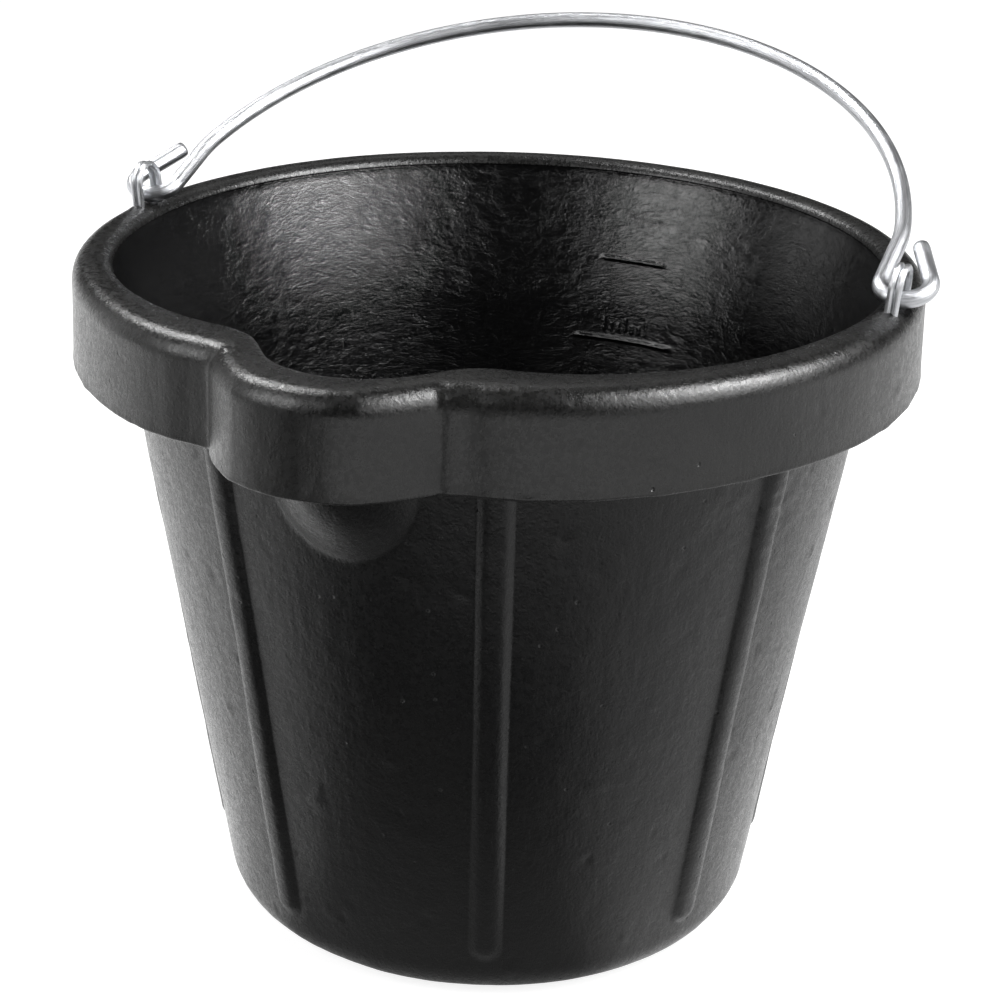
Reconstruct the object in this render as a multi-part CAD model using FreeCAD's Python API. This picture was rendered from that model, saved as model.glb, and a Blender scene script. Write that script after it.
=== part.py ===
import FreeCAD, Part
import math
import os
from FreeCAD import Vector

# Feed bucket: a round, tapered, one-piece moulded rubber pail with a thick rim
# band, a pour spout in the rim and outside stiffening ribs, carried by a steel
# wire bail that hooks through two wire eyes moulded into the rim.
#
# Frame: millimetres. Origin at the centre of the base's underside, +Z up.
# The spout points to -Y, the two eyes sit on +X and -X, and the level lines
# are inside the wall opposite the spout. Azimuths are in degrees from -Y,
# positive towards +X.

# ------------------------------------------------------------------ rim and wall
height = 264.0            # base to rim top
band_h = 37.0             # height of the thick rim band
band_foot_z = height - band_h
band_draft = 0.5          # the band is this much smaller at its top
band_fillet = 7.5         # rounding of the band's outer top edge
lip_fillet = 5.0          # rounding of the mouth's inner edge
lip_z = height - lip_fillet
fillet_end = 80.0         # the rim roundings stop at this angle and go on straight
fillet_steps = 6

wall_out_base_r = 103.4   # outside cone, carried down to z = 0
wall_out_top_r = 140.6    # outside cone where it meets the band
wall_out_slope = math.atan((wall_out_top_r - wall_out_base_r) / band_foot_z)
base_fillet = 17.0        # outside corner between wall and base
shell_overlap = 5.0       # the outside cone runs this far up into the band

floor_t = 8.0             # floor thickness
wall_in_base_r = 98.0     # inside cone at the floor
wall_in_top_r = 138.0     # inside cone carried up to the rim top
wall_in_slope = math.atan((wall_in_top_r - wall_in_base_r) / (height - floor_t))
floor_fillet = 14.0       # inside corner between floor and wall
floor_fillet_steps = 6

flare_from_z = 205.0      # height where the inside starts to open out
flare_power = 1.6
spout_from_z = 198.0      # height where the mouth's planform starts to show
spout_half_share = 0.5    # share of the planform reached at the band's foot
mouth_stations = (spout_from_z, 212.0, band_foot_z, 238.0, 249.0)
mouth_overcut = 0.4       # the hollow runs this far above the rim top

# -------------------------------------------------------------- features on wall
rib_count = 8
rib_pitch = 360.0 / rib_count
rib_first_az = rib_pitch / 2.0       # the spout is midway between two ribs
rib_w = 12.8              # width at the wall
rib_proud = 3.0           # how far a rib stands out of the wall
rib_foot_z = 19.5         # lower tip of a rib
rib_top_z = height - band_h / 2.0    # hidden inside the band

spout_bulge = (28.5, 14.0, 37.0)     # outside semi-axes of the spout's throat
spout_channel = (21.5, 14.0, 31.0)   # inside semi-axes of the spout's throat

level_az = 177.3          # azimuth of the middle of the raised level lines
level_lines = ((192.2, 45.0), (226.0, 29.0))   # (height, length)
level_proud = 1.1

# -------------------------------------------------------------------- wire parts
eye_r = 153.2             # eyes' distance from the axis at the rim top
eye_wire = 2.5            # eye wire diameter
eye_half_w = 7.3          # half of the loop's width, centre to centre
eye_top = 15.7            # loop centre line above the rim top
eye_pitch = 2.65          # spacing of the loop's two turns
eye_lean = 5.0            # the eyes lean outwards, degrees
eye_depth = 14.0          # start of the buried bend below the rim top
eye_leg = 12.0            # buried length of the loop's two ends
eye_hole_extra = 0.02     # the wire's hole in the rubber is this much wider

bail_wire = 6.35          # bail wire diameter
bail_axis_z = height + 3.7
bail_lean = 69.0          # rest position: leaning from upright to +Y, degrees
bail_arc_r = 147.0        # radius of the bail's arc
bail_arc_h = 12.8         # arc centre above the swing axis
bail_arc_end = 12.0       # the arc stops this many degrees above its centre
bail_ease_r = 60.0        # tighter bend from the arc into the straight leg
bail_chamfer = 0.7        # on the wire's two cut ends
hook_r = 9.0              # hook bend, centre line
hook_close = 24.0         # the hook's tail leans back in towards the leg, degrees
hook_tail = 21.5          # straight tail of the hook

# --------------------------------------------------------------- rim planforms
# (azimuth from the spout, radius), the same on both sides of the spout
rim_outer = [
    (0.0, 176.0), (4.0, 175.1), (7.7, 172.6), (10.4, 168.6), (13.2, 163.4),
    (15.4, 159.2), (17.3, 156.4), (20.0, 155.8), (24.5, 157.6), (29.5, 159.3),
    (36.0, 160.2), (45.0, 160.3), (60.0, 160.3),
]
rim_inner = [
    (0.0, 151.5), (4.5, 149.7), (9.0, 144.6), (12.5, 138.0), (15.0, 133.3),
    (17.5, 130.2), (20.5, 129.3), (25.0, 130.9), (31.0, 133.4), (38.0, 135.8),
    (48.0, 137.4), (60.0, 138.0),
]
# (azimuth from the spout, how far the inside opens out at the rim)
mouth_flare = [
    (0.0, 1.9), (22.0, 1.9), (30.0, 3.0), (40.0, 3.6), (50.0, 4.7), (60.0, 5.8),
    (75.0, 6.8), (90.0, 7.5), (120.0, 8.5), (180.0, 9.0),
]
# azimuths of a ring's points, closer together round the spout
ring_azimuths = [1.5 * i for i in range(-24, 25)] + [36.0 + 6.0 * i for i in range(1, 48)]


# --------------------------------------------------------------- shared helpers
def read_table(points, azimuth):
    """Smooth (monotone cubic) reading of a planform table at an azimuth."""
    az = abs((azimuth + 180.0) % 360.0 - 180.0)
    if az >= points[-1][0]:
        return points[-1][1]
    steps = [after[0] - before[0] for before, after in zip(points, points[1:])]
    slopes = [(after[1] - before[1]) / step
              for before, after, step in zip(points, points[1:], steps)]
    tangents = [0.0] * len(points)
    for i in range(1, len(points) - 1):
        if slopes[i - 1] * slopes[i] > 0:
            weight_before = 2 * steps[i] + steps[i - 1]
            weight_after = steps[i] + 2 * steps[i - 1]
            tangents[i] = ((weight_before + weight_after)
                           / (weight_before / slopes[i - 1] + weight_after / slopes[i]))
    i = next(k for k in range(len(steps)) if az <= points[k + 1][0])
    t = (az - points[i][0]) / steps[i]
    return ((2 * t**3 - 3 * t**2 + 1) * points[i][1]
            + (t**3 - 2 * t**2 + t) * steps[i] * tangents[i]
            + (-2 * t**3 + 3 * t**2) * points[i + 1][1]
            + (t**3 - t**2) * steps[i] * tangents[i + 1])


def polar(radius, azimuth, z):
    angle = math.radians(azimuth)
    return Vector(radius * math.sin(angle), -radius * math.cos(angle), z)


def ring(radius_at, offset, z):
    """Closed smooth wire round the axis, moved outwards by an even offset."""
    base = [polar(radius_at(az), az, z) for az in ring_azimuths]
    points = []
    for i, point in enumerate(base):
        tangent = base[(i + 1) % len(base)] - base[i - 1]
        tangent.normalize()
        normal = Vector(tangent.y, -tangent.x, 0)
        if normal.dot(Vector(point.x, point.y, 0)) < 0:
            normal = normal * -1
        points.append(point + normal * offset)
    curve = Part.BSplineCurve()
    curve.interpolate(Points=points, PeriodicFlag=True)
    return Part.Wire([curve.toShape()])


def ruled_solid(sections):
    """Ruled loft through sections given as (radius function, offset, height)."""
    return Part.makeLoft([ring(*section) for section in sections], True, True)


def rim_rounding(radius_at, fillet, direction, overrun):
    """Sections of a rim rounding; direction is +1 outwards, -1 inwards.

    The last section carries the tangent straight on to overrun above the rim.
    """
    sections = []
    for i in range(fillet_steps + 1):
        angle = math.radians(fillet_end * i / fillet_steps)
        sideways = fillet * (1 - math.cos(angle))
        z = height - fillet + fillet * math.sin(angle)
        sections.append((radius_at, direction * sideways, z))
    rise = fillet * (1 - math.sin(angle)) + overrun
    sideways += rise / math.tan(math.radians(90.0 - fillet_end))
    sections.append((radius_at, direction * sideways, height + overrun))
    return sections


# ---------------------------------------------------------------- rubber bucket
def wall_out(z):
    return wall_out_base_r + (wall_out_top_r - wall_out_base_r) * z / band_foot_z


def wall_in(z):
    rise = (z - floor_t) / (height - floor_t)
    return wall_in_base_r + (wall_in_top_r - wall_in_base_r) * rise


def outer_at(shrink):
    """Radius function of the band's outside."""
    return lambda az: read_table(rim_outer, az) - shrink


def inner_at(z, share=1.0):
    """Radius function of the inside wall at a height.

    share runs from the plain cone (0) to the mouth's planform (1).
    """
    rise = min(1.0, max(0.0, z - flare_from_z) / (lip_z - flare_from_z)) ** flare_power
    return lambda az: (wall_in(z) + share * (read_table(rim_inner, az) - wall_in_top_r)
                       + rise * read_table(mouth_flare, az))


def planform_share(z):
    """Share of the mouth's planform at a height, in two straight ramps."""
    if z <= band_foot_z:
        return spout_half_share * (z - spout_from_z) / (band_foot_z - spout_from_z)
    return (spout_half_share
            + (1.0 - spout_half_share) * (z - band_foot_z) / (lip_z - band_foot_z))


def make_shell():
    """Solid outside cone with its lower corner rounded."""
    top_z = band_foot_z + shell_overlap
    up_wall = Vector(math.sin(wall_out_slope), 0, math.cos(wall_out_slope))
    half_corner = math.acos(-up_wall.x) / 2.0
    setback = base_fillet / math.tan(half_corner)
    corner = Vector(wall_out(0.0), 0, 0)
    on_base = corner + Vector(-setback, 0, 0)
    on_wall = corner + up_wall * setback
    centre = Vector(on_base.x, 0, base_fillet)
    to_corner = corner - centre
    to_corner.normalize()
    top = Vector(wall_out(top_z), 0, top_z)
    axis_foot = Vector(0, 0, 0)
    axis_top = Vector(0, 0, top_z)
    profile = [
        Part.makeLine(axis_foot, on_base),
        Part.Arc(on_base, centre + to_corner * base_fillet, on_wall).toShape(),
        Part.makeLine(on_wall, top),
        Part.makeLine(top, axis_top),
        Part.makeLine(axis_top, axis_foot),
    ]
    return Part.Face(Part.Wire(profile)).revolve(Vector(0, 0, 0), Vector(0, 0, 1), 360)


def make_band():
    """Solid rim band with the spout's outline, rounded at its top."""
    foot = [(outer_at(0.0), 0.0, band_foot_z)]
    return ruled_solid(foot + rim_rounding(outer_at(band_draft), band_fillet, -1, 0.0))


def make_throat(semi_axes, radius):
    """Ellipsoid at the band's foot on the spout's side, leaning with the wall."""
    scaling = FreeCAD.Matrix()
    scaling.scale(*semi_axes)
    throat = Part.makeSphere(1.0).transformGeometry(scaling)
    throat.rotate(Vector(0, 0, 0), Vector(1, 0, 0), math.degrees(wall_out_slope))
    throat.translate(Vector(0, -radius, band_foot_z))
    return throat


def make_rib(azimuth):
    """Round bar sunk in the outside wall, its lower end a ball."""
    bar_r = ((rib_w / 2.0)**2 + rib_proud**2) / (2 * rib_proud)
    sink = bar_r - rib_proud
    ball_z = rib_foot_z + math.sqrt(bar_r**2 - sink**2)
    start = Vector(wall_out(ball_z) - sink, 0, ball_z)
    up_wall = Vector(math.sin(wall_out_slope), 0, math.cos(wall_out_slope))
    bar = Part.makeCylinder(bar_r, (rib_top_z - ball_z) / up_wall.z, start, up_wall)
    rib = bar.fuse(Part.makeSphere(bar_r, start))
    rib.rotate(Vector(0, 0, 0), Vector(0, 0, 1), azimuth - 90.0)
    return rib


def make_hollow():
    """The bucket's inside, from the floor's rounded corner to the rounded mouth."""
    turn = math.pi / 2 - wall_in_slope
    setback = floor_fillet * math.tan(turn / 2)
    sections = []
    for i in range(floor_fillet_steps + 1):
        angle = turn * i / floor_fillet_steps
        radius = wall_in_base_r - setback + floor_fillet * math.sin(angle)
        z = floor_t + floor_fillet * (1 - math.cos(angle))
        sections.append((lambda az, radius=radius: radius, 0.0, z))
    for z in mouth_stations:
        sections.append((inner_at(z, planform_share(z)), 0.0, z))
    sections += rim_rounding(inner_at(lip_z), lip_fillet, 1, mouth_overcut)
    return ruled_solid(sections)


def make_level_line(z, length):
    """Raised round line along the inside wall."""
    radius = inner_at(z, 0.0)(level_az)
    sweep = math.degrees(length / radius)
    line = Part.makeTorus(radius, level_proud, Vector(0, 0, z), Vector(0, 0, 1), 0, 360, sweep)
    line.rotate(Vector(0, 0, 0), Vector(0, 0, 1), level_az - 90.0 - sweep / 2.0)
    return line


def make_bucket():
    body = make_shell().fuse(make_band())
    body = body.fuse(make_throat(spout_bulge, wall_out_top_r))
    for i in range(rib_count):
        body = body.fuse(make_rib(rib_first_az + rib_pitch * i))
    body = body.cut(make_hollow())
    body = body.cut(make_throat(spout_channel, wall_in(band_foot_z)))
    for z, length in level_lines:
        body = body.fuse(make_level_line(z, length))
    for side in (1, -1):
        body = body.cut(make_eye(eye_wire + eye_hole_extra, side))
    return body


# ------------------------------------------------------------------- wire parts
def segment(*points):
    """Line through two points, or arc through three."""
    if len(points) == 2:
        return Part.makeLine(*points)
    return Part.Arc(*points).toShape()


def bent_wire(edges, diameter):
    """Round wire along a tangent chain of lines and arcs."""
    first = edges[0]
    start = first.valueAt(first.FirstParameter)
    direction = first.tangentAt(first.FirstParameter)
    circle = Part.makeCircle(diameter / 2.0, start, direction)
    wire = Part.Wire(edges).makePipe(Part.Face(Part.Wire([circle])))
    return wire.Solids[0] if wire.Solids else wire


def make_eye(diameter, side):
    """Two-turn loop on the +X (side 1) or -X (side -1) side of the rim.

    The legs are buried in the rim, where a bend joins the two turns.
    """
    lean = math.radians(eye_lean)
    crown = eye_top - eye_half_w       # centre of the upper bend
    half_pitch = eye_pitch / 2.0
    bend_drop = math.hypot(eye_half_w, half_pitch)

    def place(along_y, up, outward):
        radius = eye_r + up * math.sin(lean) + outward * math.cos(lean)
        return Vector(side * radius, along_y,
                      height + up * math.cos(lean) - outward * math.sin(lean))

    def turn(start, end, outward):
        """Up the -Y leg, over the top and down the +Y leg."""
        left_top = place(-eye_half_w, crown, outward)
        right_top = place(eye_half_w, crown, outward)
        return [segment(place(-eye_half_w, start, outward), left_top),
                segment(left_top, place(0, eye_top, outward), right_top),
                segment(right_top, place(eye_half_w, end, outward))]

    buried_bend = segment(place(eye_half_w, -eye_depth, -half_pitch),
                          place(0, -eye_depth - bend_drop, 0),
                          place(-eye_half_w, -eye_depth, half_pitch))
    edges = (turn(-eye_leg, -eye_depth, -half_pitch) + [buried_bend]
             + turn(-eye_depth, -eye_leg, half_pitch))
    return bent_wire(edges, diameter)


def arc_points(centre_x, centre_up, radius, start, end):
    """Start, middle and end of an arc in the bail's plane, angles in degrees."""
    angles = [math.radians(a) for a in (start, (start + end) / 2.0, end)]
    return [(centre_x + radius * math.cos(a), centre_up + radius * math.sin(a))
            for a in angles]


def make_bail():
    """One bent wire: hook, leg, long arc, and the same mirrored."""
    lean = math.radians(bail_lean)

    def place(x, up):
        return Vector(x, up * math.sin(lean), bail_axis_z + up * math.cos(lean))

    # the +X half in the bail's plane, from the long arc out to the hook's tip
    arc_end = math.radians(bail_arc_end)
    ease_gap = bail_arc_r - bail_ease_r
    ease = arc_points(ease_gap * math.cos(arc_end), bail_arc_h + ease_gap * math.sin(arc_end),
                      bail_ease_r, bail_arc_end, 0.0)
    leg_x = ease[-1][0]
    hook = arc_points(leg_x + hook_r, hook_r, hook_r, 180.0, 360.0 + hook_close)
    close = math.radians(hook_close)
    tip = (hook[-1][0] - hook_tail * math.sin(close), hook[-1][1] + hook_tail * math.cos(close))
    right = [ease, [ease[-1], (leg_x, hook_r)], hook, [hook[-1], tip]]
    left = [[(-x, up) for x, up in reversed(points)] for points in reversed(right)]

    arc_x, arc_up = ease[0]
    long_arc = [(-arc_x, arc_up), (0.0, bail_arc_h + bail_arc_r), (arc_x, arc_up)]
    edges = [segment(*[place(*point) for point in points])
             for points in left + [long_arc] + right]
    bail = bent_wire(edges, bail_wire)

    # the circles round the two cut ends are centred on the tips
    tips = [place(-tip[0], tip[1]), place(*tip)]
    end_edges = [edge for edge in bail.Edges if edge.Length > 10
                 and min((edge.CenterOfMass - point).Length for point in tips) < 0.2]
    # guards against the chamfer failing on the swept wire: the ends stay square
    try:
        chamfered = bail.makeChamfer(bail_chamfer, end_edges)
        if chamfered.isValid() and chamfered.Volume > 0.9 * bail.Volume:
            bail = chamfered
    except Exception:
        pass
    return bail


# ------------------------------------------------------------------------ write
def save(shape, name):
    if len(shape.Solids) == 1:
        shape = shape.Solids[0]
    shape.exportStep("parts/" + name + ".step")


os.makedirs("parts", exist_ok=True)
save(make_bucket(), "bucket_body")
save(make_bail(), "bail_handle")
save(make_eye(eye_wire, 1), "right_eye")
save(make_eye(eye_wire, -1), "left_eye")
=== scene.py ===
"""Black rubber bucket with a pouring spout, eight outer ribs, a wire bail and two wire eyes.

The bucket stands on z = 0 round the Z axis with its spout towards -Y, the front. Azimuths
are degrees from the spout, growing towards +X. The eyes stand on the rim at +X and -X, and
the bail leans back from them towards +Y. Geometry is worked out in millimetres and built in
metres; materials, lights and camera are in metres.
"""

import math

import bpy
import numpy as np
from mathutils import Matrix, Vector


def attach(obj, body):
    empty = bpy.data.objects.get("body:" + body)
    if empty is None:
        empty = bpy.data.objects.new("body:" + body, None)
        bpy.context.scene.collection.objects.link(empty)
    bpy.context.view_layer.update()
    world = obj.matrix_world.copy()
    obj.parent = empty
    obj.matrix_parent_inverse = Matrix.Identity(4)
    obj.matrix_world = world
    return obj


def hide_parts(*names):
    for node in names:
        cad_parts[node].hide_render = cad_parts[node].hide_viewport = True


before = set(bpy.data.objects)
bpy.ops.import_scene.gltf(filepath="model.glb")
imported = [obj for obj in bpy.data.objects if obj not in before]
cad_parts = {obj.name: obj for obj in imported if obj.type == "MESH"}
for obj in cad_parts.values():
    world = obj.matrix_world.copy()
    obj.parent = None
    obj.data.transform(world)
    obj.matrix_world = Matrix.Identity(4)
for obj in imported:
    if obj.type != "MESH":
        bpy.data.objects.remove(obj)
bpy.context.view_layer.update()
scene = bpy.context.scene
MM = 0.001

# ---------------------------------------------------------------------------
# sizes, in millimetres and degrees
# ---------------------------------------------------------------------------
HEIGHT = 264.0
BAND_H = 37.0                         # thick band round the top
Z_BAND = HEIGHT - BAND_H
BAND_DRAFT = 0.5
BAND_EDGE = 0.9                       # fillet of the band's lower edge
COVE_R, COVE_SINK = 2.5, 0.4          # hollow fillet where the wall meets the band
LIP_FILLET = 5.0
OUT_BASE, OUT_TOP = 103.4, 140.6      # outer wall radius at the ground and at the band
BASE_FILLET = 17.0
FLOOR = 8.0
IN_BASE, IN_TOP = 98.0, 138.0         # inner wall radius at the floor and at the rim
FLOOR_FILLET = 14.0
RIB_FIRST, RIB_PITCH = 22.5, 45.0
RIB_W, RIB_PROUD, RIB_FOOT = 12.8, 3.0, 19.5
RIBS = [RIB_FIRST + RIB_PITCH * k for k in range(-4, 4)]

# bulge of the spout's throat outside: half-angle, drop below the band, stand-out
THROAT_HALF, THROAT_DROP, THROAT_PROUD = 12.5, 37.0, 14.6
# channel of the spout inside: half-angle, height it tapers down from, drop, depth
CHANNEL_HALF, CHANNEL_TOP, CHANNEL_DROP, CHANNEL_DEEP = 12.7, 229.0, 38.0, 13.5
FLARE_FROM = 205.0                    # the mouth opens out above this height

# raised level lines inside at the back: (height, half-length)
LEVEL_AZ = 177.3
LEVELS = ((192.2, 22.5), (226.0, 14.5))
# tick marks over the longer line: where the row starts, the wall's radius there, and
# (distance along the wall towards +X, length); every third tick is long
TICK_AZ, TICK_Z, TICK_WALL_R = 181.9, 196.0, 127.5
TICKS = [(0.6 + 3.2 * k, 5.0 if k % 3 == 0 else 2.6) for k in range(7)]

# wire eyes: place, wire, half-width, top over the rim, pitch of the two turns, outward lean,
# and how far the bottom bend and the cut legs lie below the rim
EYE_R, EYE_WIRE, EYE_HALF, EYE_TOP, EYE_PITCH = 153.2, 2.5, 7.3, 15.7, 2.65
EYE_LEAN, EYE_DEPTH, EYE_LEG = 5.0, 14.0, 12.0
# bail: wire, height of its pivots, lean from upright; bow; hooked ends
BAIL_WIRE, BAIL_Z, BAIL_LEAN = 6.35, HEIGHT + 3.7, 69.0
ARC_R, ARC_H, ARC_END, EASE_R = 147.0, 12.8, 12.0, 60.0
HOOK_R, HOOK_CLOSE, HOOK_TAIL = 9.0, 24.0, 21.5

# (degrees from the spout, radius) of the band's outside and of the mouth
RIM_OUT = [(0.0, 176.0), (4.0, 175.1), (7.7, 172.6), (10.4, 168.6), (13.2, 163.4),
           (15.4, 159.2), (17.3, 156.4), (20.0, 155.8), (24.5, 157.6), (29.5, 159.3),
           (36.0, 160.2), (45.0, 160.3), (180.0, 160.3)]
RIM_IN = [(0.0, 151.5), (4.5, 149.7), (9.0, 144.6), (12.5, 138.0), (15.0, 133.3),
          (17.5, 130.2), (20.5, 129.3), (25.0, 130.9), (31.0, 133.4), (38.0, 135.8),
          (48.0, 137.4), (60.0, 138.0), (180.0, 138.0)]
# (degrees from the spout, how far the mouth flares out at the rim)
RIM_FLARE = [(0.0, 1.9), (22.0, 1.9), (30.0, 3.0), (40.0, 3.6), (50.0, 4.7), (60.0, 5.8),
             (75.0, 6.8), (90.0, 7.5), (120.0, 8.5), (180.0, 9.0)]
# one-sided unevenness of the rim: (azimuth, width in degrees, outward shift)
OUT_HUMPS = ((-18.0, 2.6, -1.1), (16.6, 2.4, 0.8), (-62.0, 26.0, 1.2))
FLARE_HUMPS = ((-62.0, 22.0, 2.6), (66.0, 20.0, -1.6))

GRAIN_R = 62.0                        # ring that the inner grain is read from
OUTSIDE, BAND, TOP, INSIDE, BASE = range(5)      # zones of the rubber's surface


# ---------------------------------------------------------------------------
# numeric helpers
# ---------------------------------------------------------------------------
def pchip(table, x):
    """Monotone cubic through a table of (x, y), for an array x."""
    xs, ys = np.array(table, float).T
    gap = np.diff(xs)
    slope = np.diff(ys) / gap
    tangent = np.zeros(len(xs))
    for i in range(1, len(xs) - 1):
        if slope[i - 1] * slope[i] > 0:
            w1, w2 = 2 * gap[i] + gap[i - 1], gap[i] + 2 * gap[i - 1]
            tangent[i] = (w1 + w2) / (w1 / slope[i - 1] + w2 / slope[i])
    x = np.clip(x, xs[0], xs[-1])
    i = np.clip(np.searchsorted(xs, x, side="right") - 1, 0, len(xs) - 2)
    t = (x - xs[i]) / gap[i]
    return ((2 * t**3 - 3 * t**2 + 1) * ys[i] + (t**3 - 2 * t**2 + t) * gap[i] * tangent[i]
            + (-2 * t**3 + 3 * t**2) * ys[i + 1] + (t**3 - t**2) * gap[i] * tangent[i + 1])


def smoothstep(start, end, x):
    t = np.clip((x - start) / (end - start), 0, 1)
    return t * t * (3 - 2 * t)


def soft_positive(x, half):
    """max(x, 0) with a rounded corner of the given half-width."""
    return np.where(x > half, x, np.where(x < -half, 0.0, (x + half) ** 2 / (4 * half)))


def hump(x, width):
    return np.exp(-(x / width) ** 2)


def wrap(degrees):
    return (degrees + 180) % 360 - 180


def arc_from(centre, azimuth, radius):
    """Signed distance round a circle from one azimuth to others."""
    return wrap(azimuth - centre) * math.pi / 180 * radius


HASH = np.tile(np.random.RandomState(11).permutation(256), 2)
GRADIENTS = np.random.RandomState(12).normal(size=(256, 3))
GRADIENTS /= np.linalg.norm(GRADIENTS, axis=1)[:, None]


def perlin(points):
    """Gradient noise in 3-D, about -1 to 1, at (N, 3) points."""
    cell = np.floor(points).astype(int)
    part = points - cell
    cell &= 255
    ease = part * part * part * (part * (part * 6 - 15) + 10)
    total = np.zeros(len(points))
    for corner in np.ndindex(2, 2, 2):
        x, y, z = (cell + corner).T
        gradient = GRADIENTS[HASH[HASH[HASH[x] + y] + z]]
        weight = np.where(corner, ease, 1 - ease).prod(1)
        total += weight * (gradient * (part - corner)).sum(1)
    return total * 1.6


def fbm(points):
    """Three octaves of gradient noise."""
    total, gain, scale = np.zeros(len(points)), 1.0, 1.0
    for octave in range(3):
        total += gain * perlin(points * scale + 17.3 * octave)
        gain *= 0.5
        scale *= 2.03
    return total


def around_ring(points, ring_radius):
    """Places drawn in to a thin ring, so a grain read there is drawn out round the wall."""
    radius = np.hypot(points[:, 0], points[:, 1])
    direction = points[:, :2] / np.maximum(radius, 1e-4)[:, None]
    return np.column_stack([direction * np.minimum(radius, ring_radius)[:, None],
                            points[:, 2] + 0.35 * radius])


# ---------------------------------------------------------------------------
# mesh helpers
# ---------------------------------------------------------------------------
def closed_skin(name, rings, start, end):
    """Skin over (rows, columns, 3) rings in mm, closed by a fan at each end.

    Returns the object and its vertices in metres.
    """
    rows, columns = rings.shape[:2]
    index = np.arange(rows * columns).reshape(rows, columns)
    low, high = index[:-1], index[1:]
    quads = np.stack([low, np.roll(low, -1, 1), np.roll(high, -1, 1), high], -1)
    quads = quads.reshape(-1, 4)
    first, last = index[0], index[-1]
    start_hub = np.full(columns, rows * columns)
    tris = np.concatenate([np.stack([start_hub, np.roll(first, -1), first], 1),
                           np.stack([start_hub + 1, last, np.roll(last, -1)], 1)])
    verts = np.concatenate([rings.reshape(-1, 3), [start], [end]]) * MM

    mesh = bpy.data.meshes.new(name)
    mesh.vertices.add(len(verts))
    mesh.vertices.foreach_set("co", verts.astype(np.float32).ravel())
    loops = np.concatenate([quads.ravel(), tris.ravel()])
    mesh.loops.add(len(loops))
    mesh.loops.foreach_set("vertex_index", loops.astype(np.int32))
    mesh.polygons.add(len(quads) + len(tris))
    starts = np.concatenate([np.arange(len(quads)) * 4,
                             len(quads) * 4 + np.arange(len(tris)) * 3])
    mesh.polygons.foreach_set("loop_start", starts.astype(np.int32))
    mesh.update(calc_edges=True)
    mesh.validate()
    mesh.shade_smooth()
    obj = bpy.data.objects.new(name, mesh)
    scene.collection.objects.link(obj)
    return obj, verts


def add_attribute(obj, name, values):
    """Store one number or one vector for each vertex."""
    kind, field = ("FLOAT", "value") if values.ndim == 1 else ("FLOAT_VECTOR", "vector")
    attribute = obj.data.attributes.new(name, kind, "POINT")
    attribute.data.foreach_set(field, values.astype(np.float32).ravel())


# ---------------------------------------------------------------------------
# bucket outline: one closed surface, in rows of points round the axis
# ---------------------------------------------------------------------------
def column_azimuths():
    """Azimuths of the columns, closer at the spout, the ribs, the eyes and the ticks."""
    fine, coarse = ((0.24, 0.62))
    at_ticks = 0.2
    azimuth, out = -180.0, []
    while azimuth < 180.0 - 1e-9:
        near_rib = min(abs(wrap(azimuth - rib)) for rib in RIBS) < 3.6
        near_eye = min(abs(azimuth - 90), abs(azimuth + 90)) < 5.0
        gap = fine if (abs(azimuth) < 27 or near_rib or near_eye) else coarse
        if azimuth > 171.0 or azimuth < -177.0:
            gap = min(gap, at_ticks)
        out.append(azimuth)
        azimuth += gap
    if 180.0 - out[-1] < 0.5 * fine:
        out.pop()
    return np.array(out)


AZ = column_azimuths()
ABS_AZ = np.abs(AZ)
DIR = np.stack([np.sin(np.radians(AZ)), -np.cos(np.radians(AZ))], 1)
ROW_GAP = 1.5


def rim_outlines():
    """Radii of the band's outside and of the mouth, and the mouth's flare."""
    # the +X side of the spout is squeezed towards its middle
    squeeze = 1 + 0.105 * (1 - smoothstep(24.0, 42.0, ABS_AZ))
    squeezed = ABS_AZ * np.where(AZ > 0, squeeze, 1.0)
    back = hump(ABS_AZ - 180.0, 45.0)
    outer = pchip(RIM_OUT, squeezed) + back
    # narrow crease in each of the spout's shoulders
    outer = outer - np.exp(-(np.sqrt((squeezed - 17.2) ** 2 + 0.36) - 0.6) / 0.9)
    for centre, width, shift in OUT_HUMPS:
        outer = outer + shift * hump(AZ - centre, width)
    flare = pchip(RIM_FLARE, ABS_AZ) + back
    for centre, width, shift in FLARE_HUMPS:
        flare = flare + shift * hump(AZ - centre, width)
    return outer, pchip(RIM_IN, ABS_AZ), flare


def planform(radius):
    """Points of an outline and its outward normals."""
    points = DIR * radius[:, None]
    tangent = np.roll(points, -1, 0) - np.roll(points, 1, 0)
    tangent /= np.linalg.norm(tangent, axis=1)[:, None]
    normal = np.stack([tangent[:, 1], -tangent[:, 0]], 1)
    normal *= np.sign((normal * points).sum(1))[:, None]
    return points, normal


outer_r, inner_r, flare = rim_outlines()
P_OUT, N_OUT = planform(outer_r)
P_IN, N_IN = planform(inner_r + flare)
# outer top edge: rounder at the front, tighter at the back and at -X
top_fillet = 8.6 - 2.2 * smoothstep(50.0, 95.0, np.abs(AZ - 20.0))


def foot_corner(base, top, rise, fillet):
    """Angle turned by the fillet at a wall's foot, and the radius where it starts."""
    turn = math.pi / 2 - math.atan2(top - base, rise)
    return turn, base - fillet * math.tan(turn / 2)


BASE_TURN, BASE_R = foot_corner(OUT_BASE, OUT_TOP, Z_BAND, BASE_FILLET)
FLOOR_TURN, FLOOR_R = foot_corner(IN_BASE, IN_TOP, HEIGHT - FLOOR, FLOOR_FILLET)


def wall_out(z):
    return OUT_BASE + (OUT_TOP - OUT_BASE) * z / Z_BAND


def wall_in(z):
    return IN_BASE + (IN_TOP - IN_BASE) * (z - FLOOR) / (HEIGHT - FLOOR)


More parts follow.
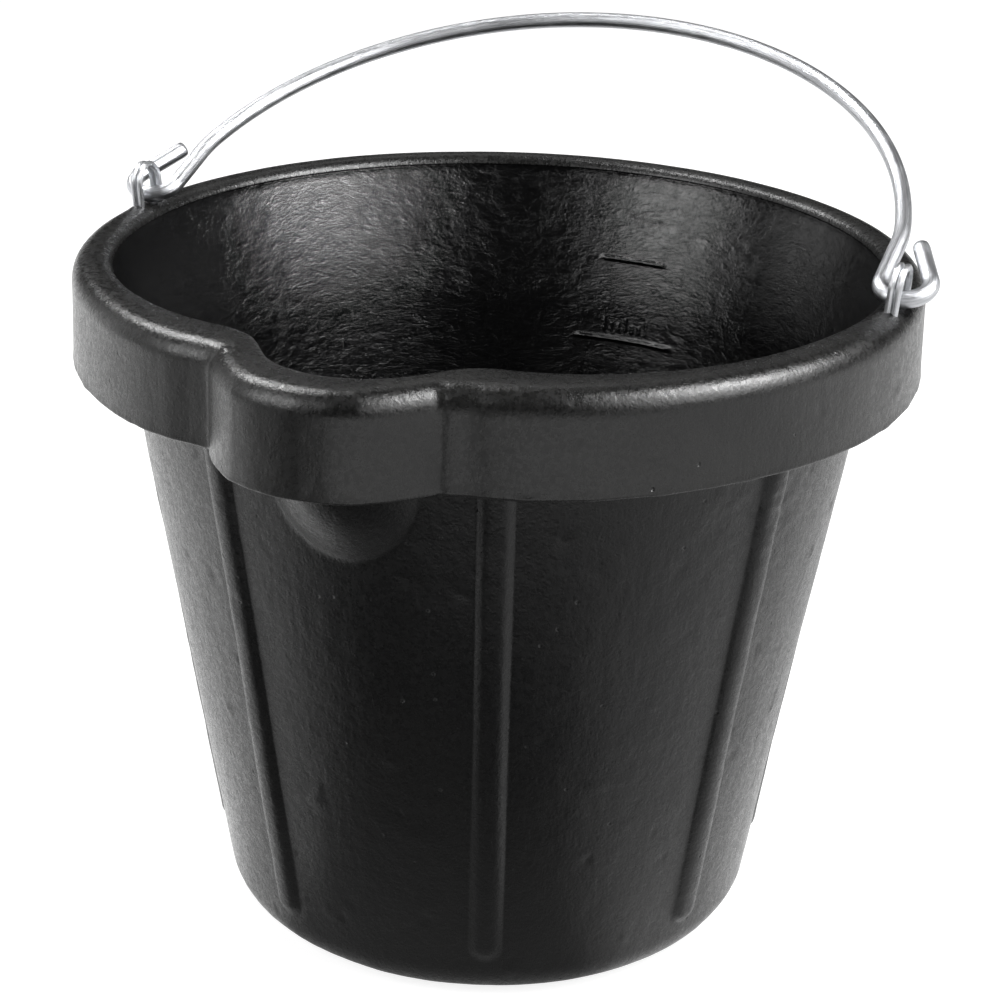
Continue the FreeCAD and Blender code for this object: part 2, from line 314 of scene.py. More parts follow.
def rib_height(z):
    """How far the ribs stand out of the wall, for every column at height z."""
    section_r = ((RIB_W / 2)**2 + RIB_PROUD**2) / (2 * RIB_PROUD)
    below = max(0.0, RIB_FOOT + 6.0 - z) * 1.05          # into the rounded foot
    out = np.zeros(len(AZ))
    for rib in RIBS:
        across = arc_from(rib, AZ, wall_out(z))
        off2 = across * across + below * below
        proud = np.sqrt(np.maximum(section_r**2 - off2, 0)) - (section_r - RIB_PROUD)
        proud = soft_positive(np.where(off2 < section_r**2, proud, -3.0), 0.22)
        proud = proud - soft_positive(proud - 2.55, 0.5) * 0.55      # flattened crown
        out = np.maximum(out, proud)
    return out


def throat(z):
    """Spout's throat standing out of the wall below the band."""
    off = (AZ / THROAT_HALF) ** 2 + (max(0.0, Z_BAND - z) / THROAT_DROP) ** 2
    return soft_positive(THROAT_PROUD * (1 - off), 1.6)


def channel(z):
    """Change of the inner wall's radius: the spout's channel, its shoulders, the flare."""
    lobe = inner_r - IN_TOP
    below = max(0, CHANNEL_TOP - z) / CHANNEL_DROP
    low = CHANNEL_DEEP * soft_positive(1 - (AZ / CHANNEL_HALF) ** 2 - below ** 2, 0.08)
    low = low + np.minimum(lobe, 0) * smoothstep(196.0, 256.0, z)
    blend = smoothstep(232.0, 252.0, z)                  # from the channel to the rim outline
    opening = np.clip((z - FLARE_FROM) / (HEIGHT - LIP_FILLET - FLARE_FROM), 0, 1) ** 1.6
    return low * (1 - blend) + lobe * blend + flare * opening


def level_ridge(z):
    """Level lines: 1 mm high, 2.5 mm wide, fading over 3 mm at the ends."""
    out = np.zeros(len(AZ))
    for level, half in LEVELS:
        along = arc_from(LEVEL_AZ, AZ, wall_in(level))
        end = np.clip((half - np.abs(along)) / 3.0, 0, 1)
        ridge = soft_positive(1.0 * (1 - ((z - level) / 1.25) ** 2), 0.2)
        out = np.maximum(out, ridge * np.sqrt(end))
    return out


def round_at(radius):
    """A row of points at one radius, or at one radius for each column."""
    return DIR * np.broadcast_to(radius, len(AZ))[:, None]


# Each row is (xy points, z, zone); z is one number or one per column.
def base_rows():
    for t in np.linspace(0.04, 1, 16)[:-1]:
        yield round_at(BASE_R * t), 0.0, BASE
    for turn in np.linspace(0, BASE_TURN, 15):
        z = BASE_FILLET * (1 - math.cos(turn))
        rib = rib_height(z) if z > 10 else 0
        radius = BASE_R + BASE_FILLET * math.sin(turn)
        yield round_at(radius + rib * math.sin(turn)), z, BASE if z < 1 else OUTSIDE


def wall_rows():
    start, end = BASE_FILLET * (1 - math.cos(BASE_TURN)), Z_BAND - COVE_R
    for z in np.linspace(start, end, int((end - start) / ROW_GAP))[1:]:
        yield round_at(wall_out(z) + np.maximum(rib_height(z), throat(z))), z, OUTSIDE


def band_rows():
    """Cove, underside, lower edge, face and top edge of the band."""
    foot = wall_out(Z_BAND) + np.maximum(rib_height(Z_BAND - COVE_R), throat(Z_BAND))
    foot = foot - COVE_SINK
    for turn in np.radians([22, 45, 68, 90]):
        radius = foot + COVE_R * (1 - math.cos(turn))
        yield round_at(radius), Z_BAND - COVE_R + COVE_R * math.sin(turn), OUTSIDE
    near, far = round_at(foot + COVE_R), P_OUT - N_OUT * BAND_EDGE
    for t in np.linspace(0, 1, 8)[1:]:
        yield near + (far - near) * t, Z_BAND, BAND
    for turn in np.radians([25, 50, 75, 90]):
        points = P_OUT - N_OUT * BAND_EDGE * (1 - math.sin(turn))
        yield points, Z_BAND + BAND_EDGE * (1 - math.cos(turn)), BAND
    for t in np.linspace(0, 1, 20)[1:]:
        z = Z_BAND + BAND_EDGE + (BAND_H - BAND_EDGE - top_fillet) * t
        yield P_OUT - N_OUT * BAND_DRAFT * t, z, BAND
    for turn in np.radians(np.linspace(0, 90, 14)[1:]):
        inset = BAND_DRAFT + top_fillet * (1 - math.cos(turn))
        z = HEIGHT - top_fillet + top_fillet * math.sin(turn)
        yield P_OUT - N_OUT * inset[:, None], z, TOP


def rim_rows():
    """Slightly domed top face and the rounded lip of the mouth."""
    near = P_OUT - N_OUT * (BAND_DRAFT + top_fillet)[:, None]
    far = P_IN + N_IN * LIP_FILLET
    for t in np.linspace(0, 1, 9)[1:-1]:
        yield near + (far - near) * t, HEIGHT + 0.12 * math.sin(math.pi * t), TOP
    draw_in = IN_TOP - wall_in(HEIGHT - LIP_FILLET)
    for turn in np.radians(np.linspace(90, 0, 14)):
        points = P_IN + N_IN * (LIP_FILLET * (1 - math.cos(turn)))
        z = HEIGHT - LIP_FILLET + LIP_FILLET * math.sin(turn)
        yield points - DIR * draw_in * math.cos(turn), z, TOP if turn > 0.35 else INSIDE


def inside_rows():
    """Inner wall, with closer rows at the ticks and level lines, then the floor."""
    start, end = HEIGHT - LIP_FILLET, FLOOR + FLOOR_FILLET * (1 - math.cos(FLOOR_TURN))
    heights = list(np.linspace(start, end, int((start - end) / (ROW_GAP + 0.1)))[1:])
    heights = [z for z in heights if not 194.6 < z < 202.4]
    heights += list(np.arange(194.7, 202.4, 0.42))
    for level, _ in LEVELS:
        heights = [z for z in heights if abs(z - level) > 2.2]
        heights += list(level + np.linspace(-2.0, 2.0, 11))
    for z in sorted(heights, reverse=True):
        yield round_at(wall_in(z) + channel(z) - level_ridge(z)), z, INSIDE
    for turn in np.linspace(FLOOR_TURN, 0, 12)[1:]:
        radius = FLOOR_R + FLOOR_FILLET * math.sin(turn)
        yield round_at(radius), FLOOR + FLOOR_FILLET * (1 - math.cos(turn)), INSIDE
    for t in np.linspace(1, 0.04, 22)[1:]:
        yield round_at(FLOOR_R * t), FLOOR, INSIDE


rows = [*base_rows(), *wall_rows(), *band_rows(), *rim_rows(), *inside_rows()]
grid = np.stack([np.column_stack([xy, np.broadcast_to(z, len(AZ))]) for xy, z, _ in rows])

# the same points in one list, with what the relief needs to know of each
place = grid.reshape(-1, 3)
zone = np.repeat([row[2] for row in rows], len(AZ))
azimuth = np.tile(AZ, len(rows))
height = place[:, 2]
radius = np.hypot(place[:, 0], place[:, 1])
inside, top = zone == INSIDE, zone == TOP


# ---------------------------------------------------------------------------
# bucket relief: how far each point is moved out along its normal
# ---------------------------------------------------------------------------
def soft_waves():
    """Slow waviness of a soft moulding, and small lumps."""
    waves = 0.50 * perlin(place / 85.0 + 3.1) + 0.16 * perlin(place / 34.0 + 9.7)
    return waves + np.where(inside, 0.035, 0.09) * fbm(place / 12.0)


def inner_creases():
    """Patchy ridged skin inside, fading out just below the rim."""
    ring = around_ring(place, GRAIN_R)
    creased = fbm(ring / np.array([5.0, 5.0, 6.5]) + 0.5 * perlin(ring / 8.0)[:, None])
    patch = smoothstep(-0.35, 0.45, perlin(place / 42.0 + 21.0))
    depth = (0.05 + 0.11 * patch) * (1 - np.abs(creased) - 0.55)
    return np.where(inside, depth, 0.0) * smoothstep(258.0, 250.0, height)


def wall_folds():
    """Faint upright folds on the outer wall, and a wrinkled patch on its +X side."""
    wall = zone == OUTSIDE
    folds = 0.10 * np.abs(perlin(place / np.array([9.0, 9.0, 30.0]) + 40.0))
    patch = hump(azimuth - 66.0, 9.0) * hump(height - 205.0, 22.0)
    wrinkles = 0.7 * patch * perlin(place / np.array([9.0, 9.0, 4.2]) + 70.0)
    return wall * (folds + wrinkles)


def dents():
    """Scattered oval dents and lumps on the outer wall and the band."""
    rng = np.random.RandomState(5)
    out = np.zeros(len(place))
    for _ in range(150):
        centre, middle = rng.uniform(-180, 180), rng.uniform(14, HEIGHT - 14)
        wide, tall = rng.uniform(1.2, 3.6), rng.uniform(0.9, 3.2)
        depth = rng.uniform(0.15, 0.5) * (1 if rng.rand() < 0.35 else -1)
        tilt = rng.uniform(-0.9, 0.9)
        near = (np.abs(height - middle) < 12) & (zone <= BAND)
        across = arc_from(centre, azimuth[near], radius[near])
        up = height[near] - middle
        long = across * math.cos(tilt) + up * math.sin(tilt)
        short = up * math.cos(tilt) - across * math.sin(tilt)
        out[near] += depth * hump(long, wide) * hump(short, tall)
    return out


def tick_marks():
    near = inside & (height > 193.5) & (height < 203.5) & (np.abs(azimuth) > 165)
    along = -arc_from(TICK_AZ, azimuth[near], TICK_WALL_R)
    up = height[near] - TICK_Z
    raised = np.zeros(near.sum())
    for start, tall in TICKS:
        off = np.hypot(along - start, up - np.clip(up, 0.0, tall))
        raised = np.maximum(raised, hump(off, 0.6))
    out = np.zeros(len(place))
    out[near] = 0.28 * raised
    return out


def calm():
    """Share of the unevenness kept: less on the base, floor and rim, least at the eyes."""
    share = np.where(zone == BASE, 0.15, 1.0) * np.where((radius < 60) & inside, 0.4, 1.0)
    near_eye = hump(np.hypot(np.abs(place[:, 0]) - 153.0, place[:, 1]), 18.0)
    return share * np.where(top, 0.45, 1.0) * (1 - 0.9 * near_eye * top)


def leg_collars():
    """Rubber drawn up round the buried wire legs."""
    out = np.zeros(len(place))
    for x_side in (-1, 1):
        for y_side in (-1, 1):
            for turn_shift in (-1.33, 1.33):
                off = np.hypot(place[:, 0] - x_side * (EYE_R + turn_shift),
                               place[:, 1] - y_side * EYE_HALF)
                out += top * 0.55 * hump(off, 2.3)
    return out


def parting_flash():
    """Uneven flash of the mould's parting line, at the band's lower edge."""
    edge = (zone == BAND) * hump(height - (Z_BAND + 0.3), 0.7) * (radius > 150)
    uneven = perlin(np.column_stack([azimuth / 4.0, 0 * azimuth, 0 * azimuth]) + 5.0)
    return edge * (0.25 + 0.45 * np.maximum(uneven, 0))


def vent_pip():
    """Small pip in a shallow ring, on the rim at the -X side of the spout."""
    off = np.hypot(place[:, 0] + 39.2, place[:, 1] + 146.1)
    return top * (0.9 * hump(off, 1.5) - 0.35 * hump(off - 2.6, 0.9))


def grid_normals(points):
    around = np.roll(points, -1, 1) - np.roll(points, 1, 1)
    along = np.empty_like(points)
    along[1:-1] = points[2:] - points[:-2]
    along[0], along[-1] = points[1] - points[0], points[-1] - points[-2]
    normal = np.cross(around, along)
    return normal / np.maximum(np.linalg.norm(normal, axis=2), 1e-9)[:, :, None]


def build_bucket():
    relief = soft_waves() + inner_creases() + wall_folds() + dents() + tick_marks()
    relief = relief * calm() + leg_collars() + parting_flash() + vent_pip()
    moved = place + grid_normals(grid).reshape(-1, 3) * relief[:, None]
    moved[:, 2] = np.maximum(moved[:, 2], 0.0)           # nothing below the ground
    obj, verts = closed_skin("bucket_rubber", moved.reshape(grid.shape),
                             [0, 0, 0.0], [0, 0, FLOOR])
    zones = np.concatenate([zone, [BASE, INSIDE]])
    add_attribute(obj, "ring", around_ring(verts, GRAIN_R * MM))
    add_attribute(obj, "inside", zones == INSIDE)
    add_attribute(obj, "band", (zones == BAND) | (zones == TOP))
    return obj


bucket = build_bucket()


# ---------------------------------------------------------------------------
# wire parts: a round section carried along lines and arcs, with cut ends
# ---------------------------------------------------------------------------
def arc_pts(centre, radius, start, end, count):
    angle = np.radians(np.linspace(start, end, count))
    return np.stack([centre[0] + radius * np.cos(angle),
                     centre[1] + radius * np.sin(angle)], 1)


def line_pts(start, end, count):
    t = np.linspace(0, 1, count)[:, None]
    return np.array(start) + (np.array(end) - np.array(start)) * t


def chain(*parts):
    """Join runs of points that share their end points."""
    return np.concatenate([parts[0]] + [part[1:] for part in parts[1:]])


def sweep(name, pts, wire, wobble, normal, sides, chamfer):
    """Wire round pts. wobble lists (share of the radius, lobes, length along per radian);
    normal is the direction across the path from which the section starts."""
    count = len(pts)
    tangent = np.empty_like(pts)
    tangent[1:-1] = pts[2:] - pts[:-2]
    tangent[0], tangent[-1] = pts[1] - pts[0], pts[-1] - pts[-2]
    tangent /= np.linalg.norm(tangent, axis=1)[:, None]
    run = np.concatenate([[0], np.cumsum(np.linalg.norm(np.diff(pts, axis=0), axis=1))])
    across = np.zeros_like(pts)
    carried = np.asarray(normal, float)
    for i in range(count):
        carried = carried - tangent[i] * (carried @ tangent[i])
        carried = carried / np.linalg.norm(carried)
        across[i] = carried
    second = np.cross(tangent, across)
    angle = np.linspace(0, 2 * np.pi, sides, endpoint=False)
    cos, sin = np.cos(angle), np.sin(angle)
    wire_r = wire / 2
    rings, ring_runs = [], []

    def ring(i, share, shift):
        uneven = sum(amount * np.sin(lobes * angle + run[i] / length)
                     for amount, lobes, length in wobble)
        r = wire_r * (1 + uneven) * share
        centre = pts[i] + tangent[i] * shift
        rings.append(centre + across[i] * (r * cos)[:, None] + second[i] * (r * sin)[:, None])
        ring_runs.append(run[i] + shift)

    end_shares = (0.35, 0.7, 1 - chamfer / wire_r)
    edge_share, edge_shift = 1.0 - 0.25 * chamfer / wire_r, 0.3 * chamfer
    for share in end_shares:
        ring(0, share, 0.0)
    ring(0, edge_share, edge_shift)
    for i in range(count):
        if chamfer < run[i] < run[-1] - chamfer:
            ring(i, 1.0, 0.0)
    ring(count - 1, edge_share, -edge_shift)
    for share in reversed(end_shares):
        ring(count - 1, share, 0.0)

    obj, _ = closed_skin(name, np.array(rings), pts[0], pts[-1])
    # distance along the wire in metres, then cosine and sine of the place round it
    along = np.concatenate([np.repeat(ring_runs, sides), [0, run[-1]]]) * MM
    around = [np.concatenate([np.tile(v, len(rings)), [0, 0]]) for v in (cos, sin)]
    add_attribute(obj, "wire", np.stack([along, *around], 1))
    return obj


def bail_half():
    """+X half of the bail's centre line, apex to tip, as (x, height) in its own plane."""
    end = math.radians(ARC_END)
    ease_x = (ARC_R - EASE_R) * math.cos(end)
    ease_h = ARC_H + (ARC_R - EASE_R) * math.sin(end)
    leg_x = ease_x + EASE_R
    hook = arc_pts((leg_x + HOOK_R, HOOK_R), HOOK_R, 180, 360 + HOOK_CLOSE, 44)
    close = math.radians(HOOK_CLOSE)
    tip = hook[-1] + HOOK_TAIL * np.array([-math.sin(close), math.cos(close)])
    return chain(arc_pts((0, ARC_H), ARC_R, 90, ARC_END, 120),
                 arc_pts((ease_x, ease_h), EASE_R, ARC_END, 0, 12),
                 line_pts((leg_x, ease_h), (leg_x, HOOK_R), 14),
                 hook, line_pts(hook[-1], tip, 12))


def build_bail():
    half = bail_half()
    x, up = chain(half[::-1] * (-1, 1), half).T
    cos, sin = math.cos(math.radians(BAIL_LEAN)), math.sin(math.radians(BAIL_LEAN))
    return sweep("bail_wire", np.stack([x, up * sin, BAIL_Z + up * cos], 1), BAIL_WIRE,
                 wobble=((0.006, 2, 35.0), (0.004, 7, 90.0)), normal=(0, cos, -sin),
                 sides=48, chamfer=0.75)


def eye_pts(side):
    """Two turns of wire side by side, joined by a bend under the rim."""
    r, top_centre, half_pitch = EYE_HALF, EYE_TOP - EYE_HALF, EYE_PITCH / 2

    def turn(start, end, offset):
        flat = chain(line_pts((-r, -start), (-r, top_centre), 14),
                     arc_pts((0, top_centre), r, 180, 0, 30),
                     line_pts((r, top_centre), (r, -end), 14))
        return np.column_stack([flat, np.full(len(flat), offset)])

    angle = np.radians(np.linspace(0, -180, 24))
    bend = np.column_stack([r * np.cos(angle),
                            -EYE_DEPTH + math.hypot(r, half_pitch) * np.sin(angle),
                            -half_pitch * np.cos(angle)])
    y, up, out = chain(turn(EYE_LEG, EYE_DEPTH, -half_pitch), bend,
                       turn(EYE_DEPTH, EYE_LEG, half_pitch)).T
    cos, sin = math.cos(math.radians(EYE_LEAN)), math.sin(math.radians(EYE_LEAN))
    return np.stack([side * (EYE_R + up * sin + out * cos), y,
                     HEIGHT + up * cos - out * sin], 1)


bail = build_bail()
eyes = [sweep(name, eye_pts(side), EYE_WIRE, wobble=((0.01, 3, 20.0),), normal=(side, 0, 0),
              sides=24, chamfer=0.3)
        for side, name in ((1, "right_eye_wire"), (-1, "left_eye_wire"))]

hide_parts("bucket_body")
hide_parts("bail_handle")
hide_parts("right_eye")
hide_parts("left_eye")
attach(bucket, "bucket")
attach(bail, "bail")
for eye in eyes:
    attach(eye, "bucket")


# ---------------------------------------------------------------------------
# materials
# ---------------------------------------------------------------------------
class Shader:
    """A material's node tree. An input may be given a value or another node's output."""

    def __init__(self, name):
        self.mat = bpy.data.materials.new(name)
        self.mat.use_nodes = True
        self.tree = self.mat.node_tree
        self.tree.nodes.clear()

    def node(self, kind, inputs, **properties):
        node = self.tree.nodes.new("ShaderNode" + kind)
        for key, value in properties.items():
            setattr(node, key, value)
        for key, value in inputs.items():
            if isinstance(value, bpy.types.NodeSocket):
                self.tree.links.new(value, node.inputs[key])
            else:
                node.inputs[key].default_value = value
        return node

    def finish(self, kind, inputs):
        """Make the last shader, join it to the output and return the material."""
        shader = self.node(kind, inputs).outputs[0]
        self.node("OutputMaterial", {0: shader})
        return self.mat

    def mapping(self, vector, **inputs):
        return self.node("Mapping", {"Vector": vector, **inputs}).outputs[0]

    def coord(self, scale=(1, 1, 1)):
        return self.mapping(self.node("TexCoord", {}).outputs["Object"], Scale=scale)

    def attribute(self, name, out="Fac"):
        return self.node("Attribute", {}, attribute_name=name).outputs[out]

    def noise(self, vector, scale, detail, rough, warp=0.0, out="Fac"):
        return self.node("TexNoise", {"Vector": vector, "Scale": scale, "Detail": detail,
                                      "Roughness": rough, "Distortion": warp}).outputs[out]

    def math(self, operation, *values):
        return self.node("Math", dict(enumerate(values)), operation=operation).outputs[0]

    def add(self, a, b):
        return self.math("ADD", a, b)

    def times(self, a, b):
        return self.math("MULTIPLY", a, b)

    def ramp(self, value, over, to=(0.0, 1.0)):
        """Smooth step from to[0] to to[1] as the value crosses the range over."""
        return self.node("MapRange", {"Value": value, "From Min": over[0], "From Max": over[1],
                                      "To Min": to[0], "To Max": to[1]},
                         interpolation_type="SMOOTHSTEP").outputs["Result"]

    def mix_value(self, share, low, high):
        return self.node("Mix", {0: share, 2: low, 3: high}, data_type="FLOAT").outputs[0]

    def mix_colour(self, share, low, high):
        return self.node("Mix", {0: share, 6: low, 7: high}, data_type="RGBA").outputs[2]

    def bump(self, height, strength, depth, under=None):
        inputs = {"Strength": strength, "Distance": depth, "Height": height}
        if under is not None:
            inputs["Normal"] = under
        return self.node("Bump", inputs).outputs["Normal"]

    def xyz(self, vector):
        return self.node("SeparateXYZ", {0: vector}).outputs


def crinkle(m, vec):
    """Leathery crinkle drawn round the inside: its height and its coarse noise."""
    wander = m.noise(vec, scale=70, detail=3, rough=0.5, out="Color")
    ring = m.node("VectorMath", {0: wander, 1: (0.004, 0.004, 0.006),
                                 2: m.attribute("ring", "Vector")}, operation="MULTIPLY_ADD")
    place = m.mapping(ring.outputs[0], Scale=(1.0, 1.0, 0.9))

    def folds(noise, depth):
        return m.times(m.math("ABSOLUTE", m.math("SUBTRACT", noise, 0.5)), depth)

    coarse = m.noise(place, scale=300, detail=6, rough=0.60, warp=0.5)
    fine = m.noise(place, scale=700, detail=4, rough=0.6, warp=0.3)
    return m.add(folds(coarse, -1.5), folds(fine, -1.0)), coarse


def outer_grain(m, vec):
    """Mottled grain with an upright flow, less scattered round pits."""
    fine = m.noise(vec, scale=900, detail=5, rough=0.65)
    coarse = m.noise(vec, scale=260, detail=4, rough=0.6, warp=0.4)
    flow = m.noise(m.coord((1, 1, 0.22)), scale=420, detail=5, rough=0.6, warp=0.5)
    grain = m.add(m.add(m.times(fine, 0.45), m.times(coarse, 0.5)), m.times(flow, 0.35))
    cells = {"Vector": vec, "Scale": 170}
    distance = m.node("TexVoronoi", cells).outputs["Distance"]
    tint = m.node("TexVoronoi", cells).outputs["Color"]
    chance = m.node("SeparateColor", {0: tint}).outputs[0]
    pit = m.times(m.ramp(distance, over=(0.05, 0.16), to=(1.0, 0.0)),
                  m.math("GREATER_THAN", chance, 0.90))
    return m.math("SUBTRACT", grain, m.times(pit, 0.9))


def rubber():
    m = Shader("moulded_black_rubber")
    inner, band = m.attribute("inside"), m.attribute("band")
    vec = m.coord()
    folds, folds_noise = crinkle(m, vec)
    grain = outer_grain(m, vec)

    # short fine scratches, in patches
    drawn_out = m.mapping(vec, Rotation=(0.4, 0.5, 0.3), Scale=(1, 1, 0.06))
    scratches = m.noise(drawn_out, scale=900, detail=3, rough=0.6)
    patches = m.ramp(m.noise(vec, scale=22, detail=3, rough=0.5), over=(0.56, 0.70))
    scuff = m.times(m.ramp(scratches, over=(0.60, 0.72)), patches)

    # depths in metres: outer wall and band, then inside
    depth = m.mix_value(inner, m.mix_value(band, 0.00046, 0.00036), 0.00034)
    normal = m.bump(m.mix_value(inner, grain, folds), strength=1.0, depth=depth)
    normal = m.bump(m.noise(vec, scale=1700, detail=3, rough=0.6), strength=1.0,
                    depth=0.00004, under=normal)

    # near black everywhere; the band is painted greyer as a painted sheen for its brighter
    # reflections, and the inside is painted darkest as painted shade inside the pail
    wall_col = m.mix_colour(m.ramp(m.noise(vec, scale=14, detail=4, rough=0.6), (0.35, 0.7)),
                            low=(0.0030, 0.0030, 0.0032, 1), high=(0.0070, 0.0068, 0.0066, 1))
    # painted sheen: the band's base colour is lighter than the wall's to stand in for its
    # brighter reflections, over a mottled tone of its own
    band_painted_sheen_col = m.mix_colour(m.ramp(m.noise(vec, scale=30, detail=4, rough=0.6), (0.3, 0.7)),
                            low=(0.0035, 0.0035, 0.0034, 1), high=(0.0085, 0.0084, 0.0080, 1))
    # painted shade: the inside's base colour is darker than the wall's, standing in for the
    # shade that falls inside the pail
    inside_painted_shade_col = m.mix_colour(m.ramp(m.noise(vec, scale=500, detail=3, rough=0.6), (0.3, 0.75)),
                          low=(0.0008, 0.0008, 0.0009, 1), high=(0.0024, 0.0024, 0.0025, 1))
    colour = m.mix_colour(inner, m.mix_colour(band, wall_col, band_painted_sheen_col), inside_painted_shade_col)
    colour = m.mix_colour(m.times(scuff, 0.35), colour, (0.06, 0.06, 0.058, 1))

    mottle = m.noise(vec, scale=460, detail=6, rough=0.72)
    rough = m.mix_value(inner, m.ramp(mottle, over=(0.34, 0.66), to=(0.20, 0.37)),
                        m.ramp(folds_noise, over=(0.3, 0.7), to=(0.14, 0.20)))
    rough = m.add(rough, m.times(scuff, 0.12))
    shine = m.mix_value(inner, m.mix_value(band, 0.38, 0.50), 0.55)
    return m.finish("BsdfPrincipled", {"Base Color": colour, "Roughness": rough,
                                       "Normal": normal, "Specular IOR Level": shine})


def steel(name, light, dark, rough):
    """Drawn, zinc-plated wire, with its marks stretched along the run."""
    m = Shader(name)
    run, cos, sin = m.xyz(m.attribute("wire", "Vector"))

    def wire_place(along, around):
        return m.node("CombineXYZ", {0: m.times(run, along), 1: m.times(cos, around),
                                     2: m.times(sin, around)}).outputs[0]

    lines = m.noise(wire_place(along=16.0, around=3.2), scale=2.2, detail=5, rough=0.65)
    hair = m.noise(wire_place(along=60.0, around=9.0), scale=2.5, detail=4, rough=0.6)
    vec = m.coord()
    blotch = m.noise(vec, scale=90, detail=5, rough=0.6)
    spangle = m.noise(vec, scale=420, detail=3, rough=0.6)
    normal = m.bump(lines, strength=0.55, depth=0.00035)
    normal = m.bump(hair, strength=0.35, depth=0.00012, under=normal)
    normal = m.bump(spangle, strength=0.25, depth=0.00012, under=normal)
    colour = m.mix_colour(m.ramp(lines, over=(0.36, 0.62)), dark, light)
    colour = m.mix_colour(m.ramp(blotch, over=(0.62, 0.80), to=(0.0, 0.35)),
                          colour, (0.42, 0.42, 0.42, 1))
    uneven = m.add(m.ramp(hair, over=(0.3, 0.7), to=(rough - 0.06, rough + 0.08)),
                   m.ramp(blotch, over=(0.5, 0.8), to=(0.0, 0.12)))
    return m.finish("BsdfPrincipled", {"Base Color": colour, "Metallic": 1.0,
                                       "Roughness": uneven, "Normal": normal})


mat_rubber = rubber()
mat_bail = steel("zinc_plated_bail_wire", light=(0.68, 0.69, 0.71, 1),
                 dark=(0.42, 0.43, 0.45, 1), rough=0.33)
mat_eye = steel("zinc_plated_eye_wire", light=(0.78, 0.79, 0.81, 1),
                dark=(0.50, 0.51, 0.53, 1), rough=0.30)
for obj, material in zip((bucket, bail, *eyes), (mat_rubber, mat_bail, mat_eye, mat_eye)):
    obj.data.materials.append(material)
for name, material in (("bucket_body", mat_rubber), ("bail_handle", mat_bail),
                       ("left_eye", mat_eye), ("right_eye", mat_eye)):
    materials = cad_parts[name].data.materials
    materials.clear()
    materials.append(material)

# ---------------------------------------------------------------------------
# floor, light, camera: metres
# ---------------------------------------------------------------------------
CAM_AZ = math.radians(22.35)          # the camera stands this far from the spout towards +X


def cam_frame(x, y, z):
    """A place given as right of, beyond and above the bucket, seen from the camera."""
    cos, sin = math.cos(CAM_AZ), math.sin(CAM_AZ)
    return (x * cos - y * sin, x * sin + y * cos, z)


def floor_material():
    """Pale to the camera, dim to diffuse rays, and a pattern of glow to reflections."""
    m = Shader("pale_floor")

    def position():
        return m.node("NewGeometry", {}).outputs["Position"]

    away = m.node("VectorMath", {0: position()}, operation="LENGTH").outputs["Value"]
    rays = m.node("LightPath", {}).outputs
    lift = m.ramp(away, over=(0.5, 4.0), to=(0.86, 0.985))
    pale = m.node("BsdfDiffuse", {"Color": (0.40, 0.40, 0.40, 1)}).outputs[0]
    lit = m.node("Emission", {"Strength": lift}).outputs[0]
    seen = m.node("AddShader", {0: pale, 1: lit}).outputs[0]

    # glow to both sides and well in front, dark behind, with a soft pool under the bucket;
    # angles are degrees to the right of the camera's side
    turned = m.node("VectorRotate", {"Vector": position(), "Angle": -CAM_AZ},
                    rotation_type="Z_AXIS").outputs[0]
    x, y, _ = m.xyz(turned)
    around = m.times(m.math("ARCTAN2", x, m.times(y, -1.0)), 57.2958)
    left = m.add(m.ramp(around, over=(-64.0, -48.0), to=(0.82, 0.0)),
                 m.ramp(around, over=(-100.0, -68.0), to=(0.60, 0.0)))
    right = m.add(m.ramp(around, over=(20.0, 42.0), to=(0.0, 0.72)),
                  m.ramp(around, over=(50.0, 95.0), to=(0.0, 0.38)))
    front = m.times(m.ramp(y, over=(-0.52, -0.34), to=(1.15, 0.0)),
                    m.ramp(around, over=(-34.0, -22.0)))
    glow = m.math("MAXIMUM", m.math("MAXIMUM", left, right), front)
    glow = m.add(m.add(glow, 0.08), m.ramp(away, over=(0.11, 0.27), to=(0.30, 0.0)))

    dim = m.node("BsdfDiffuse", {"Color": (0.10, 0.10, 0.10, 1)}).outputs[0]
    shown = m.node("Emission", {"Strength": glow}).outputs[0]
    unseen = m.node("MixShader", {0: rays["Is Glossy Ray"], 1: dim, 2: shown}).outputs[0]
    return m.finish("MixShader", {0: rays["Is Camera Ray"], 1: unseen, 2: seen})


bpy.ops.mesh.primitive_plane_add(size=14.0, location=(0, 0, -0.0002))
floor = bpy.context.object
floor.name = "studio_floor"
floor.data.materials.append(floor_material())


def white_world():
    """White to the camera, almost dark to everything else."""
    world = bpy.data.worlds.new("studio")
    scene.world = world
    world.use_nodes = True
    tree = world.node_tree
    background = tree.nodes["Background"]
    background.inputs["Color"].default_value = (1, 1, 1, 1)
    rays = tree.nodes.new("ShaderNodeLightPath")
    strength = tree.nodes.new("ShaderNodeMapRange")
    strength.inputs["To Min"].default_value = 0.03
    strength.inputs["To Max"].default_value = 1.0
    tree.links.new(rays.outputs["Is Camera Ray"], strength.inputs["Value"])
    tree.links.new(strength.outputs["Result"], background.inputs["Strength"])


def softbox(name, degrees, distance, z, aim_z, width, depth, power):
    light = bpy.data.lights.new(name, "AREA")
    light.shape = "RECTANGLE"
    light.size, light.size_y = width, depth
    light.energy = power
    light.spread = math.pi
    obj = bpy.data.objects.new(name, light)
    angle = math.radians(degrees)
    loc = cam_frame(distance * math.sin(angle), -distance * math.cos(angle), z)
    obj.location = loc
    aim = Vector((0, 0, aim_z)) - Vector(loc)
    obj.rotation_euler = aim.to_track_quat("-Z", "Y").to_euler()
    scene.collection.objects.link(obj)


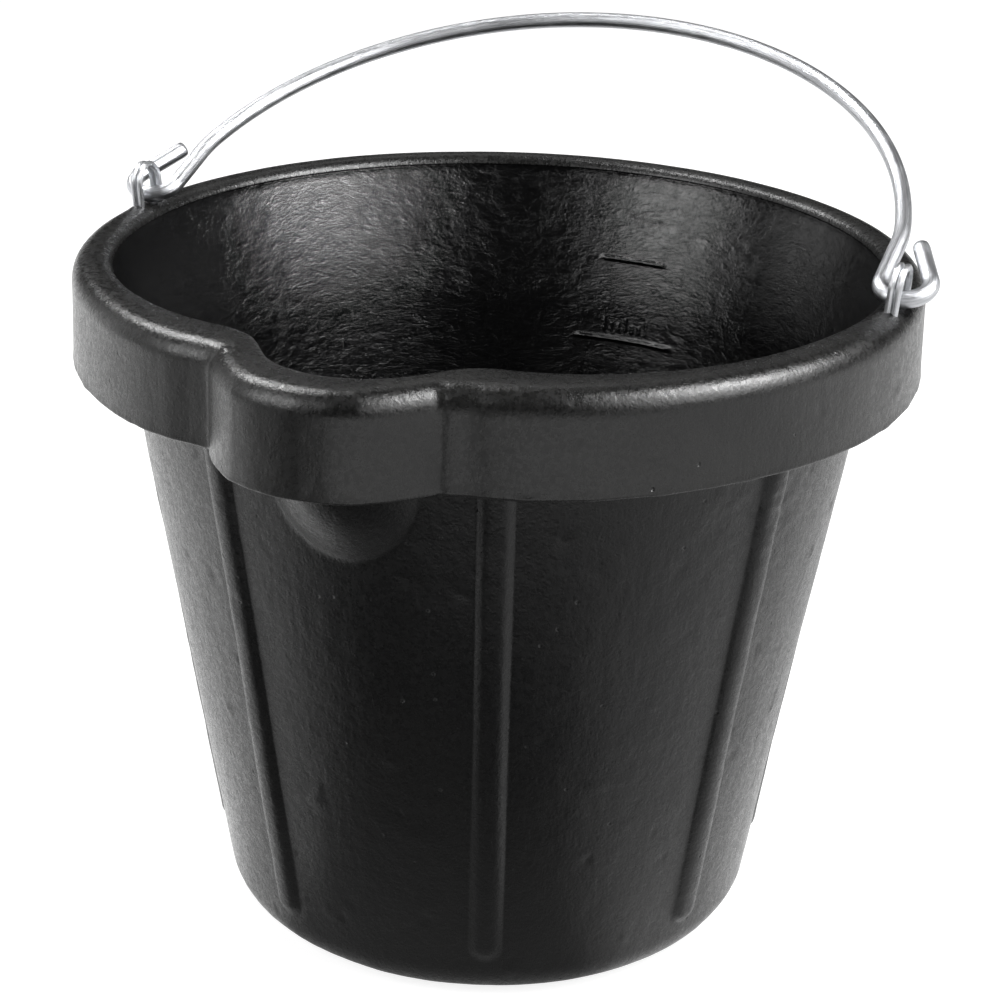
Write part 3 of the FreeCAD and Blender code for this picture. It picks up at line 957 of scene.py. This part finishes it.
# name, degrees right of the camera's side, distance out, height, height aimed at,
# width, depth, watts
SOFTBOXES = (
    ("right_box", 63, 1.25, 0.98, 0.22, 1.20, 0.90, 17.5),
    ("left_box", -63, 1.25, 0.98, 0.22, 0.72, 0.85, 11.5),
    ("left_rim", -118, 1.45, 0.60, 0.16, 0.7, 0.8, 2),
    ("right_top", 80, 1.02, 1.36, 0.25, 0.46, 0.46, 29),
    ("left_top", -136, 0.98, 1.42, 0.25, 0.26, 0.46, 15),
    ("back", 178, 1.3, 1.45, 0.2, 0.9, 0.4, 1.2),
)
CAM_DISTANCE, CAM_HEIGHT = 0.92608, 0.53712
CAM_DOWN, CAM_YAW, CAM_ROLL = 0.384, 0.002, 0.025        # radians
CAM_LENS, CAM_SENSOR = 91.2672, 36.0                     # millimetres


def cam_dir(x, y, z):
    """From the turned camera's own axes (right, forward, up) to the world."""
    cos, sin = math.cos(CAM_YAW), math.sin(CAM_YAW)
    return Vector(cam_frame(cos * x + sin * y, -sin * x + cos * y, z))


def add_camera():
    data = bpy.data.cameras.new("camera")
    camera = bpy.data.objects.new("camera", data)
    scene.collection.objects.link(camera)
    data.sensor_width = CAM_SENSOR
    data.lens = CAM_LENS
    data.clip_start, data.clip_end = 0.01, 50.0
    level_right = cam_dir(1, 0, 0)
    forward = cam_dir(0, math.cos(CAM_DOWN), -math.sin(CAM_DOWN))
    level_up = cam_dir(0, math.sin(CAM_DOWN), math.cos(CAM_DOWN))
    right = level_right * math.cos(CAM_ROLL) + level_up * math.sin(CAM_ROLL)
    up = level_up * math.cos(CAM_ROLL) - level_right * math.sin(CAM_ROLL)
    turn = Matrix((right, up, -forward)).transposed()
    stand = Vector(cam_frame(0.0, -CAM_DISTANCE, CAM_HEIGHT))
    camera.matrix_world = Matrix.Translation(stand) @ turn.to_4x4()
    scene.camera = camera


white_world()
for box in SOFTBOXES:
    softbox(*box)
add_camera()

scene.view_settings.view_transform = "Standard"
scene.view_settings.look = "None"
scene.view_settings.exposure = 0.0
